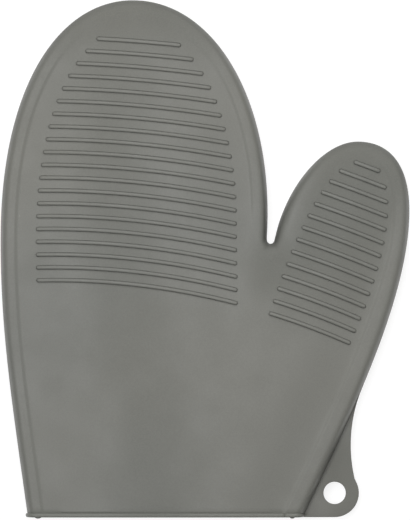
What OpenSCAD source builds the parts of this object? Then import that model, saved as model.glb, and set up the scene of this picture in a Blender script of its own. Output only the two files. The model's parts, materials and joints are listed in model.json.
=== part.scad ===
// Silicone oven mitt, palm side up, lying on its back.
// X points to the thumb, Y to the fingertips and Z up. The origin is under the middle of the mitt.

/* [Overall size] */
// Length from the nubs below the cuff to the fingertips
mitt_length = 280; // [276:1:284]
// Width from the little finger's edge to the thumb's edge
mitt_width = 220.5; // [219:0.5:222]
// Height of the palm face
palm_z = 23; // [22:0.5:25]
// Height of the parting plane, where the palm half meets the back half
parting_z = 12; // [11:0.5:13]
// Width of the rounded edge, seen from above
edge_roll = 9; // [8.5:0.5:10]
// Squareness of the rounded edge: 1 is a quarter ellipse, and less is squarer
edge_power = 0.78; // [0.7:0.02:1]

/* [Outline] */
// X of the cuff's end below the little finger
cuff_left_x = -95.5; // [-97:0.5:-94]
// X of the cuff's end below the thumb
cuff_right_x = 52.5; // [51:0.5:54]
// Height above the origin at which the little finger's edge is widest
little_finger_y = 11; // [8:1:14]
// X of the fingertips' highest point
fingertip_x = -39; // [-42:1:-36]
// X of the index finger's edge
index_x = 33.7; // [33:0.1:34]
// X of the bottom of the notch between finger and thumb
crotch_x = 35.5; // [35.4:0.1:35.6]
// Y of the bottom of the notch
crotch_y = 8.5; // [8:0.5:9]
// X of the thumb's tip
thumb_tip_x = 82.5; // [81:0.5:84]
// Y of the thumb's tip
thumb_tip_y = 63.7; // [62:0.5:65]
// Y at which the thumb's edge is widest
thumb_side_y = 26.5; // [25:0.5:28]

/* [Layers] */
// Thickness of the silicone
silicone_t = 2; // [1.8:0.1:2.2]
// Thickness of the wadding
wadding_t = 2.2; // [1.8:0.1:2.4]
// Thickness of the cotton lining
lining_t = 0.8; // [0.6:0.1:1]
// Gap between two layers
layer_gap = 0.15; // [0.15:0.05:0.2]

/* [Cuff] */
// Height of the bead round the cuff, along Y
bead_h = 2.4; // [2:0.1:3]
// Distance that the bead stands proud of the wall
bead_out = 0.7; // [0.5:0.1:1]
// Distance from the cuff's edge to the binding of the lining
binding_inset = 5; // [4:0.5:7]
// Width of the binding, along Y
binding_w = 4; // [3:0.5:6]
// Distance that the two nubs stand out below the bead
nub_h = 1; // [0.8:0.1:1.2]

/* [Hang tab] */
// X of the hole's centre
hole_x = 70; // [69:0.5:71]
// Radius of the hole
hole_r = 6; // [5:0.5:7]
// Radius of the tab's round end
tab_r = 13.1; // [12.5:0.1:14]
// Thickness of the tab
tab_t = 2.5; // [2:0.1:3]
// Radius of the tab's hollow edge
tab_hollow_r = 80; // [78:1:82]
// X of the tab's hollow edge at its narrowest
tab_waist_x = 78.7; // [78:0.1:79.5]
// Y of the tab's hollow edge at its narrowest
tab_waist_y = -100; // [-100.5:0.5:-99.5]

/* [Grip ribs] */
// Half the width of a rib
rib_r = 1.2; // [1:0.05:1.3]
// Number of ribs across the fingers and palm
hand_rib_count = 20; // [20:1:20]
// Number of ribs across the thumb
thumb_rib_count = 14; // [14:1:14]
// Tilt of the thumb's ribs from the X axis
thumb_tilt = 20.5; // [20:0.5:21]

/* [Flex lines] */
// Angle of the finger fold line from the X axis
finger_fold_tilt = 5.8; // [5.5:0.1:6]
// Y of the finger fold line at the middle of the ribs
finger_fold_y = 37.2; // [37:0.1:37.4]
// Distance of the thumb fold line from the origin, along the thumb
thumb_fold_v = 24.6; // [24:0.1:25]
// Gap between the pieces on either side of a fold line
fold_gap = 0.3; // [0.3:0.05:0.4]

/* [Hidden] */

silicone_color = [0.49, 0.49, 0.47];
rib_color = [0.53, 0.53, 0.51];
wadding_color = [0.93, 0.92, 0.88];
lining_color = [0.62, 0.62, 0.6];
binding_color = [0.4, 0.4, 0.39];

half_width = mitt_width / 2;
fingertip_y = mitt_length / 2;
cuff_y = -mitt_length / 2 + nub_h;
cuff_wall_y = cuff_y + bead_h;
lining_y = cuff_y + binding_inset + binding_w;
palm_h = palm_z - parting_z;
wadding_in = silicone_t + layer_gap;
lining_in = wadding_in + wadding_t + layer_gap;
lining_face = lining_in + lining_t;

// ---- Outline: cubic arcs between the points where it turns, clockwise from the little finger's cuff ----

notch_left = [33.3, 11];
notch_right = [37.7, 11];
left_heading = 98;
right_heading = -115.5;
thumb_heading = 78;

// One arc: [start, start heading, start pull, end, end heading, end pull, steps]
wrist_left_arc = [
    [cuff_left_x, cuff_y], left_heading, 70,
    [-half_width, little_finger_y], 90, 48, 14
];
little_arc = [
    [-half_width, little_finger_y], 90, 84,
    [fingertip_x, fingertip_y], 0, 39, 18
];
index_arc = [
    [fingertip_x, fingertip_y], 0, 42,
    [index_x, 25], -90, 66, 18
];
notch_wall_arc = [[index_x, 25], -90, 5, notch_left, -92, 5, 3];
notch_left_arc = [notch_left, -92, 1.5, [crotch_x, crotch_y], 0, 1.2, 5];
notch_right_arc = [[crotch_x, crotch_y], 0, 1.2, notch_right, thumb_heading, 1.5, 5];
thumb_inner_arc = [notch_right, thumb_heading, 30, [thumb_tip_x, thumb_tip_y], 0, 18, 12];
thumb_outer_arc = [
    [thumb_tip_x, thumb_tip_y], 0, 17,
    [half_width, thumb_side_y], -90, 25, 11
];
wrist_right_arc = [
    [half_width, thumb_side_y], -90, 47,
    [cuff_right_x, cuff_y], right_heading, 60, 18
];
left_arcs = [wrist_left_arc, little_arc];
index_arcs = [index_arc, notch_wall_arc];
hand_arcs = concat(left_arcs, index_arcs, [notch_left_arc]);
thumb_arcs = [notch_right_arc, thumb_inner_arc, thumb_outer_arc, wrist_right_arc];

function heading(angle) = [cos(angle), sin(angle)];
function control(arc) = [
    arc[0],
    arc[0] + arc[2] * heading(arc[1]),
    arc[3] - arc[5] * heading(arc[4]),
    arc[3]
];
function on_curve(c, t) =
    pow(1 - t, 3) * c[0] + 3 * pow(1 - t, 2) * t * c[1] + 3 * (1 - t) * t * t * c[2] + pow(t, 3) * c[3];
function along_curve(c, t) =
    pow(1 - t, 2) * (c[1] - c[0]) + 2 * (1 - t) * t * (c[2] - c[1]) + t * t * (c[3] - c[2]);
function inward(d) = [d[1], -d[0]] / norm(d);

// A station is [point, inward normal]
function station(c, t) = [on_curve(c, t), inward(along_curve(c, t))];
function stations(arcs) = [
    for (arc = arcs) for (k = [0 : arc[6] - 1]) station(control(arc), k / arc[6])
];

run_out = 6;
run_out_y = cuff_y - run_out;
first_station = [[cuff_left_x + run_out * tan(left_heading - 90), run_out_y], [1, 0]];
cuff_right_station = station(control(wrist_right_arc), 1);
last_station = [[cuff_right_x + run_out * tan(right_heading + 90), run_out_y], [-1, 0]];
outline = concat(
    [first_station],
    stations(hand_arcs),
    stations(thumb_arcs),
    [cuff_right_station, last_station]
);
crotch_index = 1 + len(stations(hand_arcs));

// X of the outline at a height, on the little finger's side and on the index finger's side
left_edge = [for (s = stations(left_arcs)) [s[0][1], s[0][0]]];
index_edge = [for (s = stations(index_arcs)) [s[0][1], s[0][0]]];

// ---- Half sheet: a layer over one half of the mitt, swept round the outline and closed by a flat face ----

roll_steps = 4;
hand_centre = [-37, -20];
thumb_centre = [60, -10];
cuff_centre = [-20, run_out_y];

function roll_in(inset, turn) = inset + (edge_roll - inset) * (1 - pow(cos(turn), edge_power));
function roll_up(rise, turn) = rise * pow(sin(turn), edge_power);
function ring(s, inset, rise) = [
    for (k = [0 : roll_steps])
        let (turn = 90 * k / roll_steps, p = s[0] + roll_in(inset, turn) * s[1])
            [p[0], p[1], roll_up(rise, turn)]
];
function quad(a, b, c, d) = [[a, b, c], [a, c, d]];

module half_sheet(inset, thick, rise) {
    outer_rise = rise - inset;
    inner_rise = outer_rise - thick;
    per_ring = roll_steps + 1;
    stride = 2 * per_ring;
    last = len(outline) - 1;
    hubs = len(outline) * stride;
    rings = [
        for (s = outline)
            each concat(ring(s, inset, outer_rise), ring(s, inset + thick, inner_rise))
    ];
    hub_points = [
        for (c = [hand_centre, thumb_centre, cuff_centre]) for (z = [outer_rise, inner_rise])
            [c[0], c[1], z]
    ];
    hand_hub = hubs;
    thumb_hub = hubs + 2;
    cuff_hub = hubs + 4;
    walls = [
        for (i = [0 : last - 1]) let (a = i * stride, b = a + stride) each concat(
            [for (k = [0 : roll_steps - 1]) each quad(a + k, b + k, b + k + 1, a + k + 1)],
            [for (k = [per_ring : stride - 2]) each quad(a + k, a + k + 1, b + k + 1, b + k)],
            quad(b, a, a + per_ring, b + per_ring)
        )
    ];
    faces_flat = [
        for (i = [0 : last - 1])
            let (hub = i < crotch_index ? hand_hub : thumb_hub, o = i * stride + roll_steps, n = o + per_ring)
                each [[o, o + stride, hub], [n + stride, n, hub + 1]]
    ];
    first_o = roll_steps;
    first_n = first_o + per_ring;
    crotch_o = crotch_index * stride + roll_steps;
    crotch_n = crotch_o + per_ring;
    last_o = last * stride + roll_steps;
    last_n = last_o + per_ring;
    faces_middle = [
        [crotch_o, cuff_hub, hand_hub], [cuff_hub, first_o, hand_hub],
        [last_o, cuff_hub, thumb_hub], [cuff_hub, crotch_o, thumb_hub],
        [cuff_hub + 1, crotch_n, hand_hub + 1], [first_n, cuff_hub + 1, hand_hub + 1],
        [cuff_hub + 1, last_n, thumb_hub + 1], [crotch_n, cuff_hub + 1, thumb_hub + 1]
    ];
    first_cap = [
        for (k = [0 : roll_steps - 1]) each quad(k, k + 1, per_ring + k + 1, per_ring + k)
    ];
    base = last * stride;
    last_cap = [
        for (k = [0 : roll_steps - 1])
            each quad(base + k + 1, base + k, base + per_ring + k, base + per_ring + k + 1)
    ];
    flat_cap = concat(
        quad(first_o, cuff_hub, cuff_hub + 1, first_n),
        quad(cuff_hub, last_o, last_n, cuff_hub + 1)
    );
    polyhedron(
        points = concat(rings, hub_points),
        faces = concat(walls, faces_flat, faces_middle, first_cap, last_cap, flat_cap),
        convexity = 6
    );
}

// ---- Parts of the mitt, divided at the two fold lines ----

far = 160;
finger_fold_x = -36.7;
thumb_u = [cos(thumb_tilt), -sin(thumb_tilt)];
thumb_v = [sin(thumb_tilt), cos(thumb_tilt)];

function finger_fold_at(x) = finger_fold_y - (x - finger_fold_x) * tan(finger_fold_tilt);
function thumb_fold_at(x) = (thumb_fold_v - x * thumb_v[0]) / thumb_v[1];

module part_of_mitt(region, from_y) {
    g = fold_gap / 2;
    if (region == "hand") {
        polygon([
            [-far, from_y], [far, from_y],
            [far, thumb_fold_at(far) - g], [crotch_x, thumb_fold_at(crotch_x) - g],
            [crotch_x, finger_fold_at(crotch_x) - g], [-far, finger_fold_at(-far) - g]
        ]);
    }
    if (region == "fingers") {
        polygon([
            [-far, finger_fold_at(-far) + g], [crotch_x, finger_fold_at(crotch_x) + g],
            [crotch_x, far], [-far, far]
        ]);
    }
    if (region == "thumb") {
        polygon([
            [crotch_x, thumb_fold_at(crotch_x) + g], [far, thumb_fold_at(far) + g],
            [far, far], [crotch_x, far]
        ]);
    }
}

module palm_layer(region, inset, thick, from_y) {
    intersection() {
        translate([0, 0, parting_z]) half_sheet(inset, thick, palm_h);
        linear_extrude(2 * palm_z) part_of_mitt(region, from_y);
    }
}

module back_layer(region, inset, thick, from_y) {
    intersection() {
        translate([0, 0, parting_z]) mirror([0, 0, 1]) half_sheet(inset, thick, parting_z);
        translate([0, 0, -palm_z]) linear_extrude(2 * palm_z) part_of_mitt(region, from_y);
    }
}

module palm_shell(region) color(silicone_color) palm_layer(region, 0, silicone_t, cuff_wall_y);
module back_shell(region) color(silicone_color) back_layer(region, 0, silicone_t, cuff_wall_y);
module palm_wadding(region) color(wadding_color) palm_layer(region, wadding_in, wadding_t, lining_y);
module back_wadding(region) color(wadding_color) back_layer(region, wadding_in, wadding_t, lining_y);
module palm_lining(region) color(lining_color) palm_layer(region, lining_in, lining_t, lining_y);
module back_lining(region) color(lining_color) back_layer(region, lining_in, lining_t, lining_y);

// ---- Cuff: outlines in the XZ plane, from the little finger's side to the thumb's side ----

arch_steps = 8;
nub_w = 3.5;
nub_t = 1.5;
nub_left_x = -90;
nub_right_x = 47;

function arch(left_x, right_x, inset, rise) = concat(
    [for (k = [0 : arch_steps]) let (turn = 90 * k / arch_steps)
        [left_x + roll_in(inset, turn), roll_up(rise, turn)]],
    [for (k = [arch_steps : -1 : 0]) let (turn = 90 * k / arch_steps)
        [right_x - roll_in(inset, turn), roll_up(rise, turn)]]
);
function reversed(list) = [for (k = [len(list) - 1 : -1 : 0]) list[k]];

module bead_half(outer_rise, inner_rise) {
    rotate([90, 0, 0]) linear_extrude(bead_h) polygon(concat(
        arch(cuff_left_x, cuff_right_x, -bead_out, outer_rise),
        reversed(arch(cuff_left_x, cuff_right_x, silicone_t, inner_rise))
    ));
}

module palm_cuff_bead() {
    color(silicone_color) translate([0, cuff_wall_y, parting_z])
        bead_half(palm_h + bead_out, palm_h - silicone_t);
}

module back_cuff_bead() {
    color(silicone_color) {
        translate([0, cuff_wall_y, parting_z]) mirror([0, 0, 1]) bead_half(parting_z, parting_z - silicone_t);
        for (x = [nub_left_x, nub_right_x]) {
            translate([x - nub_w / 2, cuff_y - nub_h, 0]) cube([nub_w, nub_h, nub_t]);
        }
    }
}

// The mouth's cross-section, drawn in by the given inset from the cuff's outside
module mouth_section(left_x, right_x, inset) {
    polygon(concat(
        arch(left_x, right_x, inset, palm_h - inset),
        reversed([for (p = arch(left_x, right_x, inset, parting_z - inset)) [p[0], -p[1]]])
    ));
}

module lining_binding() {
    left_x = lookup(cuff_y + binding_inset, left_edge);
    right_x = cuff_right_x + binding_inset * tan(-right_heading - 90);
    color(binding_color) translate([0, lining_y, parting_z]) rotate([90, 0, 0])
        linear_extrude(binding_w) {
        difference() {
            mouth_section(left_x, right_x, wadding_in);
            mouth_section(left_x, right_x, lining_face);
        }
    }
}

// ---- Hang tab, just below the parting plane ----

tab_root = 0.4;
tab_arc_step = 7.5;
round_top_angle = 30;
hollow_low_angle = 193;
hollow_top_angle = 156;
hollow_step = 3.7;
tab_top_y = -67.5;
hole_y = cuff_y + tab_r;

module hang_tab() {
    hollow = [tab_waist_x + tab_hollow_r, tab_waist_y];
    wall = [
        for (s = stations([wrist_right_arc])) if (s[0][1] < tab_top_y) s[0] + tab_root * s[1]
    ];
    wall_end = [cuff_right_x - tab_root, cuff_y];
    round_end = [
        for (q = [-90 : tab_arc_step : round_top_angle]) [hole_x, hole_y] + tab_r * heading(q)
    ];
    hollow_edge = [
        for (q = [hollow_low_angle : -hollow_step : hollow_top_angle]) hollow + tab_hollow_r * heading(q)
    ];
    color(silicone_color) translate([0, 0, parting_z - tab_t]) difference() {
        linear_extrude(tab_t) polygon(concat(wall, [wall_end], round_end, hollow_edge));
        translate([hole_x, hole_y, -1]) cylinder(h = tab_t + 2, r = hole_r, $fn = 72);
    }
}

// ---- Grip ribs ----

// The hand's ribs pass through these two heights, and bow towards the fingertips between them
rib_left_x = -90;
rib_left_y = 120.3;
rib_left_pitch = 6.915;
rib_right_x = 16.7;
rib_right_y = 112;
rib_right_pitch = 7.125;
rib_bow_first = 1.7;
rib_bow_last = 3.7;
rib_margin_left = 18.9;
rib_tip_margin = 3;
rib_tip_step = 2.6;
rib_side_step = 0.1;
first_long_left_rib = 7;
first_long_right_rib = 5;
rib_margin_right = 17.3;
lowest_index_y = 15;
rib_facet = 30;
last_finger_rib = 12;
rib_first_guess = [-60, 0];
rib_end_turns = 6;

function rib_ends(i) = [
    [rib_left_x, rib_left_y - (i - 1) * rib_left_pitch],
    [rib_right_x, rib_right_y - (i - 1) * rib_right_pitch]
];
function rib_bow(i) = rib_bow_first + (i - 1) * (rib_bow_last - rib_bow_first) / (hand_rib_count - 1);
function rib_radius(i) =
    let (e = rib_ends(i), c = norm(e[1] - e[0]), b = rib_bow(i)) (c * c / 4 + b * b) / (2 * b);
function rib_centre(i) =
    let (e = rib_ends(i), d = e[1] - e[0])
        (e[0] + e[1]) / 2 + (rib_radius(i) - rib_bow(i)) * inward(d);
function rib_y(i, x) =
    let (c = rib_centre(i), r = rib_radius(i)) c[1] + sqrt(r * r - pow(x - c[0], 2));
function short_of(i, full) = i < full ? pow((full - i) / (full - 1), 2) : 0;
function left_margin(i) = rib_margin_left + rib_tip_margin * short_of(i, first_long_left_rib);
function right_margin(i) =
    rib_margin_right + rib_tip_step * short_of(i, first_long_right_rib)
        - rib_side_step * max(i - first_long_right_rib, 0);

// The ends of a rib keep their margins from the outline; a few turns settle where
function rib_left(i, x, turns) =
    turns == 0 ? x : rib_left(i, lookup(rib_y(i, x), left_edge) + left_margin(i), turns - 1);
function rib_right(i, x, turns) =
    turns == 0 ? x
    : rib_right(i, lookup(max(rib_y(i, x), lowest_index_y), index_edge) - right_margin(i), turns - 1);

// Faceted half-round bar along an arc about a centre, between two angles, standing on the palm face
module rib_arc(centre, radius, from_angle, to_angle) {
    translate([centre[0], centre[1], palm_z]) rotate([0, 0, from_angle])
        rotate_extrude(angle = to_angle - from_angle, $fn = 256)
            polygon([for (q = [0 : rib_facet : 180]) [radius, 0] + rib_r * heading(q)]);
}

module hand_rib(i) {
    c = rib_centre(i);
    r = rib_radius(i);
    left = rib_left(i, rib_first_guess[0], rib_end_turns);
    right = rib_right(i, rib_first_guess[1], rib_end_turns);
    rib_arc(c, r, acos((right - c[0]) / r), acos((left - c[0]) / r));
}

thumb_rib_first_v = 77.7;
thumb_rib_pitch = 7.06;
thumb_rib_first_r = 980;
thumb_rib_last_r = 385;
thumb_field_v = 7;
thumb_field_long = 73;
thumb_field_half = 24.2;
thumb_field_power = 2.3;
thumb_field_u = 65.9;
thumb_field_lean = 1.7;
last_thumb_rib = 8;

function thumb_rib_v(i) = thumb_rib_first_v - (i - 1) * thumb_rib_pitch;
function thumb_rib_r(i) =
    1 / (1 / thumb_rib_first_r
        + (i - 1) / (thumb_rib_count - 1) * (1 / thumb_rib_last_r - 1 / thumb_rib_first_r));
function thumb_rib_half(v) =
    thumb_field_half * pow(
        1 - pow(abs(v - thumb_field_v) / thumb_field_long, thumb_field_power),
        1 / thumb_field_power
    );
function thumb_rib_mid(v) = thumb_field_u - thumb_field_lean * pow(v / thumb_rib_first_v, 2);

module thumb_rib(i) {
    v = thumb_rib_v(i);
    r = thumb_rib_r(i);
    half_angle = asin(thumb_rib_half(v) / r);
    rotate([0, 0, -thumb_tilt])
        rib_arc([thumb_rib_mid(v), v - r], r, 90 - half_angle, 90 + half_angle);
}

module finger_ribs() color(rib_color) for (i = [1 : last_finger_rib]) hand_rib(i);
module palm_ribs() color(rib_color) for (i = [last_finger_rib + 1 : hand_rib_count]) hand_rib(i);
module thumb_ribs() color(rib_color) for (i = [1 : last_thumb_rib]) thumb_rib(i);
module thumb_base_ribs() color(rib_color) for (i = [last_thumb_rib + 1 : thumb_rib_count]) thumb_rib(i);

palm_shell("hand");  // palm_shell_hand
palm_shell("fingers");  // palm_shell_fingers
palm_shell("thumb");  // palm_shell_thumb
back_shell("hand");  // back_shell_hand
back_shell("fingers");  // back_shell_fingers
back_shell("thumb");  // back_shell_thumb
palm_cuff_bead();
back_cuff_bead();
hang_tab();
palm_ribs();
finger_ribs();
thumb_ribs();
thumb_base_ribs();
palm_wadding("hand");  // palm_wadding_hand
palm_wadding("fingers");  // palm_wadding_fingers
palm_wadding("thumb");  // palm_wadding_thumb
back_wadding("hand");  // back_wadding_hand
back_wadding("fingers");  // back_wadding_fingers
back_wadding("thumb");  // back_wadding_thumb
palm_lining("hand");  // palm_lining_hand
palm_lining("fingers");  // palm_lining_fingers
palm_lining("thumb");  // palm_lining_thumb
back_lining("hand");  // back_lining_hand
back_lining("fingers");  // back_lining_fingers
back_lining("thumb");  // back_lining_thumb
lining_binding();
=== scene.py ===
"""Silicone oven mitt, palm side up: the looks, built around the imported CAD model."""

import json
import math

import bmesh
import bpy
import numpy as np
from mathutils import Matrix, Vector
from mathutils.bvhtree import BVHTree
from mathutils.geometry import delaunay_2d_cdt


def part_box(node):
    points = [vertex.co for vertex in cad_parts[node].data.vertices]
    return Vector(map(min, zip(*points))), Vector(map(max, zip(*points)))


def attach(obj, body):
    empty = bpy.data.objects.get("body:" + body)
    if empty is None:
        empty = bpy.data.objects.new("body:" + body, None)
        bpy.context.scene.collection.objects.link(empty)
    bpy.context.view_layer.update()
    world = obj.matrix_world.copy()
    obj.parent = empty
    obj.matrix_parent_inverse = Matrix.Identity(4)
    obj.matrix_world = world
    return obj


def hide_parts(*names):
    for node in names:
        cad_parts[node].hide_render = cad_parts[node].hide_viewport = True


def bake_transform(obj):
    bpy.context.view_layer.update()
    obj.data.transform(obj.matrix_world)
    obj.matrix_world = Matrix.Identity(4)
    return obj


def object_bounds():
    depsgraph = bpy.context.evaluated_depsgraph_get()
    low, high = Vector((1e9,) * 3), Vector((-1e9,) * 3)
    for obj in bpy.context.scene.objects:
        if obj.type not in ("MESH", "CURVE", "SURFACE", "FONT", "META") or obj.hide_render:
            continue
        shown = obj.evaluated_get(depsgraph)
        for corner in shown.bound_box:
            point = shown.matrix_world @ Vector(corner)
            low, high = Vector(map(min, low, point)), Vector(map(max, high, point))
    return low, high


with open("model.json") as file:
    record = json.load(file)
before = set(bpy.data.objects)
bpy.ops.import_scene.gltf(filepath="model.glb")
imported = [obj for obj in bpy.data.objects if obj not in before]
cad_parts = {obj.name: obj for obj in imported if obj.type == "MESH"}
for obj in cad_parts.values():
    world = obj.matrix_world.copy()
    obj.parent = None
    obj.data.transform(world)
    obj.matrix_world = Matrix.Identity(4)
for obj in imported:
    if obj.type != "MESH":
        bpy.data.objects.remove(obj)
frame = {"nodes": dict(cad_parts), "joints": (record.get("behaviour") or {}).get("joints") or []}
cad_low, cad_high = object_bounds()

MM = 0.001
REGIONS = ("hand", "fingers", "thumb")
WELD = 0.01 * MM
FLAT = 0.99

# ---- Sizes, read from the frame ----

parting_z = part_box("back_shell_hand")[1].z
palm_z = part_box("palm_shell_hand")[1].z
palm_rise = palm_z - parting_z
cuff_wall_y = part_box("palm_shell_hand")[0].y
cuff_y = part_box("palm_cuff_bead")[0].y
bead_low, bead_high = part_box("palm_cuff_bead")
bead_out = bead_high.z - palm_z
rib_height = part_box("finger_ribs")[1].z - palm_z
lining_start_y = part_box("palm_lining_hand")[0].y
binding_low, binding_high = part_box("lining_binding")
wadding_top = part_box("palm_wadding_hand")[1].z
lining_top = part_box("palm_lining_hand")[1].z

joints = {j["name"]: j for j in frame["joints"]}
thumb_joint = joints["thumb_fold"]

# ---- Sizes that the frame does not give, and what follows from them ----

edge_roll = 9.0 * MM
edge_power = 0.78
silicone_t = 2.0 * MM
lining_t = 0.8 * MM
wadding_in = palm_z - wadding_top
lining_in = palm_z - lining_top
layer_gap = wadding_in - silicone_t
wadding_t = lining_in - wadding_in - layer_gap


# ======== Meshes ========


def new_object(name, verts, faces):
    mesh = bpy.data.meshes.new(name)
    mesh.from_pydata([tuple(v) for v in verts], [], [tuple(int(i) for i in f) for f in faces])
    mesh.validate()
    obj = bpy.data.objects.new(name, mesh)
    bpy.context.scene.collection.objects.link(obj)
    return obj


def cad_mesh(*nodes):
    """The welded meshes of the given CAD nodes, to be read and freed."""
    bm = bmesh.new()
    for node in nodes:
        bm.from_mesh(frame["nodes"][node].data)
    bmesh.ops.remove_doubles(bm, verts=bm.verts, dist=WELD)
    bm.normal_update()
    bm.verts.index_update()
    return bm


def neighbours(edges):
    """The ends of the edges, each with the ones next to it."""
    links = {}
    for a, b in (edge.verts for edge in edges):
        links.setdefault(a, []).append(b)
        links.setdefault(b, []).append(a)
    return links


def take_first(verts):
    """Takes the vertex with the lowest index out of a set."""
    first = min(verts, key=lambda v: v.index)
    verts.remove(first)
    return first


def band_faces(first, count, size, closed=False):
    """Faces between the rings of a band. Each ring is a loop of points, the first one's at first."""
    faces = []
    for i in range(count if closed else count - 1):
        a, b = first + i * size, first + (i + 1) % count * size
        faces += [(a + k, a + (k + 1) % size, b + (k + 1) % size, b + k) for k in range(size)]
    return faces


def end_faces(first, count, size):
    """The two ends of an open band."""
    last = first + (count - 1) * size
    return [tuple(range(first, first + size)), tuple(last + k for k in reversed(range(size)))]


def finish_mesh(obj, sharp_degrees=45.0):
    """Turns obj's faces outward and shades them smoothly, with sharp edges past the given angle."""
    bm = bmesh.new()
    bm.from_mesh(obj.data)
    bmesh.ops.remove_doubles(bm, verts=bm.verts, dist=WELD / 5)
    bmesh.ops.recalc_face_normals(bm, faces=bm.faces)
    limit = math.radians(sharp_degrees)
    for face in bm.faces:
        face.smooth = True
    for edge in bm.edges:
        edge.smooth = len(edge.link_faces) == 2 and edge.calc_face_angle(0.0) < limit
    bm.to_mesh(obj.data)
    bm.free()
    return obj


def smoothstep(x, low, high):
    """0 below low, 1 above high and a soft rise between them."""
    t = np.clip((x - low) / (high - low), 0.0, 1.0)
    return t * t * (3.0 - 2.0 * t)


# ---- Outline of the mitt, followed round the CAD shell ----


def is_at(co, z):
    return abs(co.z - z) < WELD


def outer_edges(bm, tree):
    """Edges of the parting plane's face that lie on the outside of the mitt."""
    probe = 2 * MM
    kept = []
    for edge in bm.edges:
        a, b = (v.co for v in edge.verts)
        on_cuff = max(a.y, b.y) < cuff_wall_y + WELD
        if on_cuff or not (is_at(a, parting_z) and is_at(b, parting_z)):
            continue
        walls = [f for f in edge.link_faces if abs(f.normal.z) < FLAT]
        if not walls:
            continue
        side = Vector((walls[0].normal.x, walls[0].normal.y, 0)).normalized()
        start = (a + b) / 2 + side * probe - Vector((0, 0, MM))
        if tree.ray_cast(start, Vector((0, 0, 1)))[0] is None:
            kept.append(edge)
    return kept


def follow_outline():
    """Points of the mitt's outline, from the little finger's end of the cuff to the thumb's end."""
    bm = cad_mesh(*("palm_shell_" + region for region in REGIONS))
    links = neighbours(outer_edges(bm, BVHTree.FromBMesh(bm)))
    ends = {v for v, near in links.items() if len(near) == 1}
    here = min((v for v in ends if v.co.y < cuff_wall_y + WELD), key=lambda v: v.co.x)
    path, seen = [here.co.copy()], {here}
    while True:
        ahead = [v for v in links[here] if v not in seen]
        if ahead:
            here = ahead[0]
            path.append(here.co.copy())
        else:
            others = [v for v in ends if v not in seen]
            near = min(others, key=lambda v: (v.co - here.co).length, default=None)
            if near is None or (near.co - here.co).length > MM:
                break
            path.pop()
            here = near
        seen.add(here)
    bm.free()
    return np.array([(p.x, p.y) for p in path])


def spline(points, at, knots):
    """Natural cubic spline through points at the knots: its values and slopes at the given places."""
    n = len(knots)
    h = np.diff(knots)
    a = np.eye(n)
    r = np.zeros((n, points.shape[1]))
    for i in range(1, n - 1):
        a[i, i - 1 : i + 2] = h[i - 1], 2 * (h[i - 1] + h[i]), h[i]
        r[i] = 6 * ((points[i + 1] - points[i]) / h[i] - (points[i] - points[i - 1]) / h[i - 1])
    m = np.linalg.solve(a, r)
    k = np.clip(np.searchsorted(knots, at, side="right") - 1, 0, n - 2)
    w = h[k][:, None]
    u = (at - knots[k])[:, None]
    v = w - u
    value = (m[k] * v**3 + m[k + 1] * u**3) / (6 * w)
    value += (points[k] / w - m[k] * w / 6) * v + (points[k + 1] / w - m[k + 1] * w / 6) * u
    slope = (m[k + 1] * u**2 - m[k] * v**2) / (2 * w)
    slope += (points[k + 1] - points[k]) / w - (m[k + 1] - m[k]) * w / 6
    return value, slope


def refined(points, spacing, fewest=2):
    """A smooth path through points, with its unit directions. Short spans keep their share of steps."""
    knots = np.concatenate([[0], np.cumsum(np.linalg.norm(np.diff(points, axis=0), axis=1))])
    at = [0.0]
    for a, b in zip(knots[:-1], knots[1:]):
        steps = max(fewest, math.ceil((b - a) / spacing))
        at.extend(a + (b - a) * (k + 1) / steps for k in range(steps))
    value, slope = spline(points, np.array(at), knots)
    return value, slope / np.linalg.norm(slope, axis=1)[:, None]


RIM_SPACING = 1.5 * MM
RULED_FROM_CUFF = 25 * MM

rim, rim_heading = refined(follow_outline(), RIM_SPACING)
rim_inward = np.stack([rim_heading[:, 1], -rim_heading[:, 0]], axis=1)


def layer_directions():
    """Ways in which the layers' rings leave the outline: its normals, but straight across near the cuff."""
    side = rim_inward[:, :1]
    near_cuff = 1.0 - smoothstep(rim[:, 1:], cuff_wall_y, cuff_wall_y + RULED_FROM_CUFF)
    straight = np.hstack([1.0 / np.where(np.abs(side) > 0.5, side, 1.0), np.zeros_like(side)])
    return rim_inward * (1 - near_cuff) + straight * near_cuff


turns_back = np.where((rim_heading[:-1, 1] < 0) & (rim_heading[1:, 1] >= 0))[0]
crotch = Vector((*rim[turns_back[0] + 1], 0))
rim_across = layer_directions()


def edge_distance(points):
    """Distance of each point from the outline, and the number of the outline's point beside it."""
    a, b = rim[:-1], rim[1:]
    d = b - a
    length2 = (d**2).sum(1)
    far, beside = np.empty(len(points)), np.empty(len(points), int)
    for start in range(0, len(points), 2000):
        p = points[start : start + 2000]
        t = (((p[:, None] - a) * d).sum(2) / length2).clip(0, 1)
        gap = np.linalg.norm(a + d * t[..., None] - p[:, None], axis=2)
        k = gap.argmin(1)
        far[start : start + len(p)] = gap[np.arange(len(p)), k]
        beside[start : start + len(p)] = k
    return far, beside


def inside(points, loop):
    """Whether each point is inside the loop."""
    a, b = loop, np.roll(loop, -1, axis=0)
    x, y = points[:, 0][:, None], points[:, 1][:, None]
    crosses = (a[:, 1] > y) != (b[:, 1] > y)
    rise = np.where(a[:, 1] == b[:, 1], 1.0, b[:, 1] - a[:, 1])
    at = a[:, 0] + (y - a[:, 1]) * (b[:, 0] - a[:, 0]) / rise
    return (crosses & (x < at)).sum(1) % 2 == 1


# ---- Where the outline has steep walls, and where a shallow step runs beside it ----

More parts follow.
